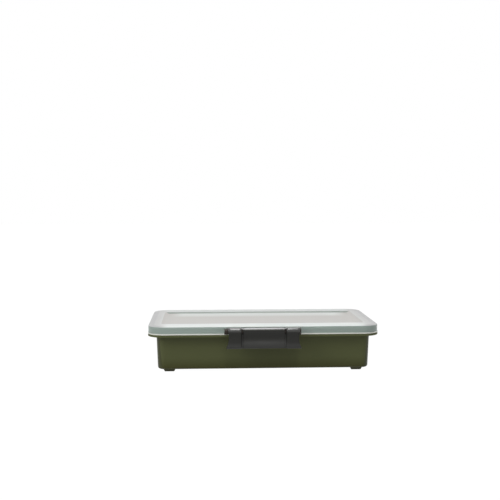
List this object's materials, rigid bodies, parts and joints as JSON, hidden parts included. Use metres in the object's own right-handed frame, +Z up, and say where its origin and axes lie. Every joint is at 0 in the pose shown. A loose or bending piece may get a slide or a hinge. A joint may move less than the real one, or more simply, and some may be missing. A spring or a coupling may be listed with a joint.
{
  "type": "soft bait box",
  "caption": "Shallow compartmented tray with a translucent hinged lid and a sliding, turning front latch.",
  "frame": {"origin": "middle of the closed box's bounding box on the plane that its four feet rest on", "axes": "+X along the box to the right of someone facing the latch, +Y towards the hinges, +Z up out of the tray"},
  "size_m": [0.21, 0.1331, 0.0431],
  "materials": {
    "olive_plastic": "fine matt grain outside, glossy inside",
    "divider_plastic": "satin moulded plate",
    "translucent_plastic": "milky translucent moulding",
    "pin_steel": "drawn wire",
    "sleeve_bronze": "brown low-friction plastic, satin",
    "latch_plastic": "grained grips and a smooth middle"
  },
  "bodies": {
    "tray": {"tray": "olive_plastic", "divider_1": "divider_plastic", "divider_2": "divider_plastic", "divider_3": "divider_plastic", "divider_4": "divider_plastic", "divider_5": "divider_plastic", "hinge_pin_left": "pin_steel", "hinge_pin_middle": "pin_steel", "hinge_pin_right": "pin_steel"},
    "lid": {"lid": "translucent_plastic"},
    "sleeve": {"latch_sleeve": "sleeve_bronze"},
    "latch": {"latch": "latch_plastic"}
  },
  "joints": [
    {"name": "lid_hinge", "type": "hinge", "parent": "tray", "child": "lid", "pos_m": [0, 0.06355, 0.0354], "axis": [-1, 0, 0], "range_deg": [0, 180]},
    {"name": "latch_slide", "type": "slide", "parent": "lid", "child": "sleeve", "axis": [1, 0, 0], "range_m": [-0.0204, 0]},
    {"name": "latch_flip", "type": "hinge", "parent": "sleeve", "child": "latch", "pos_m": [0, -0.06055, 0.0393], "axis": [-1, 0, 0], "range_deg": [0, 90]}
  ]
}
